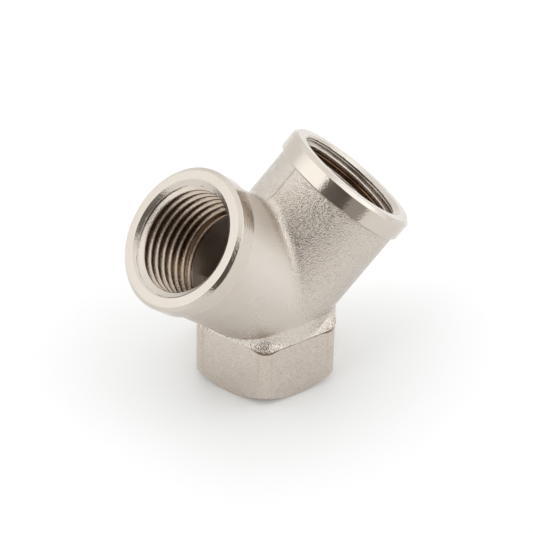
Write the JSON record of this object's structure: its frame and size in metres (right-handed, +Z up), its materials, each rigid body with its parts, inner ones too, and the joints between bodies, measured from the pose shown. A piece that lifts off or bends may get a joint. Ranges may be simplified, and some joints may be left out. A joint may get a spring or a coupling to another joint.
{
  "type": "y pipe fitting",
  "caption": "One-piece forged Y fitting with two angled threaded ports on top and a threaded hexagonal wrench base.",
  "frame": {"origin": "centre of the hexagonal base's lower face, on the base port's axis", "axes": "+Z up along the base port's axis, X in the plane of the two branches, Y across them and square to two wrench flats"},
  "size_m": [0.052, 0.026, 0.0444],
  "materials": {
    "nickel_plate": "satin nickel plate over forged brass"
  },
  "bodies": {
    "root": {"y_body": "nickel_plate"}
  },
  "joints": []
}
